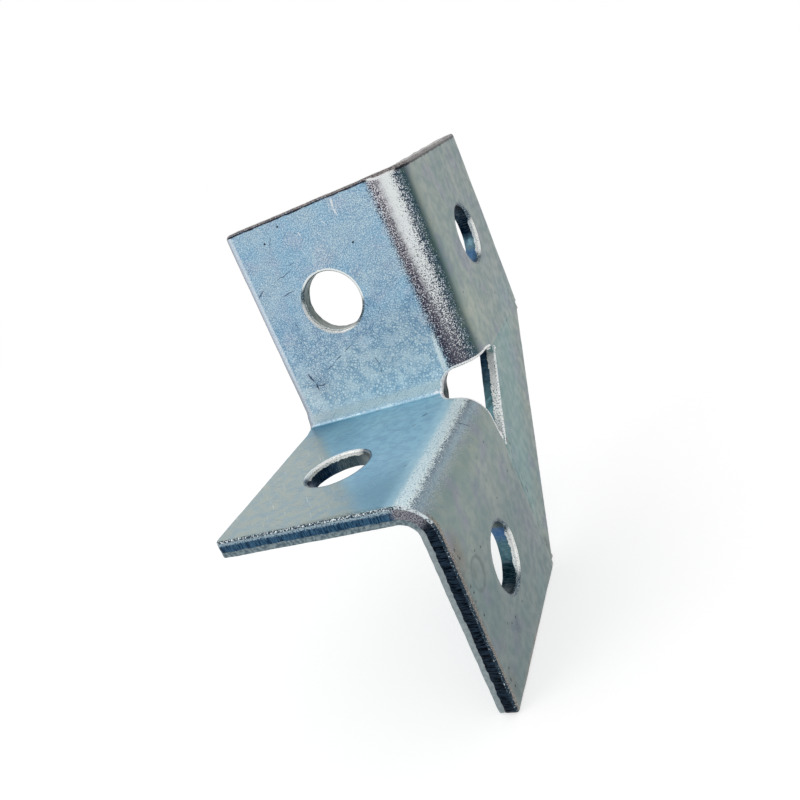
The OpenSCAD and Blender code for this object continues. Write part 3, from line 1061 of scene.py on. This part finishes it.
def gusset_zinc(name):
    """The corner plate's finish, also used on the welds."""
    zn = Zinc(name)
    outward = zn.math("SUBTRACT", zn.s, zn.v)
    # Painted shade towards the corner plate's outer edge.
    colour = wing_colour(zn, zn.step(outward, 22, 42, 0.0, 0.15))
    colour = zn.over(colour, (112, 152, 154), outward, 34, 22, 0.45)
    blue = zn.mark((9.8, -28.9), (4.0, 5.0), soft=1.0)
    colour = zn.mix(zn.times(blue, 0.7), colour, (84, 122, 146))
    colour = seam_marks(zn, colour)
    rust = zn.times(zn.step(outward, GUSSET_OUT - 0.9, GUSSET_OUT - 0.4), 0.7)
    colour = zn.mix(rust, colour, (150, 128, 112))
    # The inner edge: a pale frosted rim, and its wall pale and frosted higher up, dark lower down, as
    # painted light and shade.
    higher = zn.step(zn.v, -10.0, 2.0)
    mouth = zn.speckle(0.75, (90, 116, 126), (250, 253, 252))
    seam = zn.step(outward, GUSSET_OUT - 1.0, GUSSET_OUT - 1.5)
    colour = rolled_edges(zn, colour, mouth, seam)
    bore = zn.mix(higher, (104, 146, 152), (20, 52, 76))
    colour = wall_colour(zn, colour, 1.7, zn.mix_value(higher, 0.62, 0.95), bore)
    roughness = zn.step(zn.cloud, 0.35, 0.65, 0.34, 0.46)
    return zn.finish(colour, roughness, zn.times(zn.grain, 0.35), zn.metal_share(colour))


def share_out(mesh):
    """Gives each face of the strip the material of the flanges or that of the wings."""
    layout = np.zeros(len(mesh.vertices) * 3, np.float32)
    mesh.attributes["sheet"].data.foreach_get("vector", layout)
    across = layout[::3]
    on_wing = [min(across[list(face.vertices)]) > MATERIAL_EDGE - 0.01 for face in mesh.polygons]
    mesh.polygons.foreach_set("material_index", np.array(on_wing, np.int32))


plate = folded_plate()
plate.data.materials.append(strip_zinc("zinc_on_flanges", False))
plate.data.materials.append(strip_zinc("zinc_on_wings", True))
share_out(plate.data)
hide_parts("folded_plate")
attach(plate, "root")

gusset = corner_gusset()
gusset.data.materials.append(gusset_zinc("zinc_on_gusset"))
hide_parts("corner_gusset")
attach(gusset, "root")

weld_zinc = gusset_zinc("zinc_on_weld")
for bead_name, node, is_lower, weld_seed in (
    ("upper_bead", "upper_weld", False, 71), ("lower_bead", "lower_weld", True, 81),
):
    bead = weld_bead(bead_name, is_lower, weld_seed)
    bead.data.materials.append(weld_zinc)
    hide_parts(node)
    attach(bead, "root")


# Stage. The floor's height is the object's lowest point.
FLOOR_Z = PLATE_LOW.z * MM
FLOOR_REACH = 3.0

# Share of light that the floor's paint returns, and the plain light all round
FLOOR_PAINT = 0.6
STUDIO_LIGHT = 0.7

# The photograph's view
CAMERA_EYE = Vector((75.21, -121.35, 51.04)) * MM
LOOK_LEFT = math.radians(28.96)
LOOK_DOWN = math.radians(14.27)
CAMERA_ROLL = math.radians(24.2)
CAMERA_LENS = 36.9
CAMERA_SHIFT = (0.0745, -0.0239)


def backdrop_shader(name):
    """Plain pale paint that the camera and reflections see as white, with the shadows kept."""
    sh = Shader(bpy.data.materials.new(name))
    path = sh.node("ShaderNodeLightPath").outputs
    seen = sh.math("MAXIMUM", path["Is Camera Ray"], path["Is Glossy Ray"])
    seen = sh.math("MAXIMUM", seen, path["Is Transmission Ray"])
    paint = sh.node("ShaderNodeBsdfDiffuse")
    paint.inputs[0].default_value = (FLOOR_PAINT, FLOOR_PAINT, FLOOR_PAINT, 1)
    glow = sh.node("ShaderNodeEmission", None, sh.times(seen, 1 - FLOOR_PAINT * STUDIO_LIGHT))
    both = sh.node("ShaderNodeAddShader", paint.outputs[0], glow.outputs[0])
    sh.node("ShaderNodeOutputMaterial", both.outputs[0])
    return sh.owner


def floor():
    """A large plain floor."""
    mesh = bpy.data.meshes.new("floor")
    square = ((-1, -1), (1, -1), (1, 1), (-1, 1))
    corners = [(x * FLOOR_REACH, y * FLOOR_REACH, FLOOR_Z) for x, y in square]
    mesh.from_pydata(corners, [], [(0, 1, 2, 3)])
    mesh.materials.append(backdrop_shader("floor_paint"))
    linked("floor", mesh)


def world():
    """White to the camera and to reflections, and a plain soft light for the rest."""
    made = bpy.data.worlds.new("studio")
    bpy.context.scene.world = made
    sh = Shader(made)
    path = sh.node("ShaderNodeLightPath").outputs
    seen = sh.math("MAXIMUM", path["Is Camera Ray"], path["Is Glossy Ray"])
    sky = sh.node("ShaderNodeBackground", (255, 255, 255), sh.mix_value(seen, STUDIO_LIGHT, 1.0))
    sh.node("ShaderNodeOutputWorld", sky.outputs[0])


def lamp(name, place, aim, size, power):
    """A soft rectangular lamp, aimed at a point. Places are in millimetres."""
    data = bpy.data.lights.new(name, "AREA")
    data.shape = "RECTANGLE"
    data.size, data.size_y = (x * MM for x in size)
    data.energy = power
    made = linked(name, data)
    made.location = Vector(place) * MM
    made.rotation_mode = "QUATERNION"
    made.rotation_quaternion = (Vector(aim) * MM - made.location).to_track_quat("-Z", "Y")


def camera():
    """The photograph's view: close, from the right and a little above, rolled anticlockwise."""
    data = bpy.data.cameras.new("camera")
    data.lens = CAMERA_LENS
    data.sensor_width = 36
    data.shift_x, data.shift_y = CAMERA_SHIFT
    data.clip_start = 0.01
    level = math.cos(LOOK_DOWN)
    ahead = Vector((-math.sin(LOOK_LEFT) * level, math.cos(LOOK_LEFT) * level, -math.sin(LOOK_DOWN)))
    aside = ahead.cross(Vector((0, 0, 1))).normalized()
    above = aside.cross(ahead)
    right = aside * math.cos(CAMERA_ROLL) - above * math.sin(CAMERA_ROLL)
    turn = Matrix((right, right.cross(ahead), -ahead)).transposed()
    made = linked("camera", data)
    made.matrix_world = Matrix.Translation(CAMERA_EYE) @ turn.to_4x4()
    bpy.context.scene.camera = made


floor()
world()
lamp("key", (-260, -320, 330), (0, 20, 0), (260, 260), 0.4)
lamp("side", (229, -272, 80), (20, 27, 20), (220, 230), 0.07)
camera()

bpy.context.scene.view_settings.view_transform = "Standard"
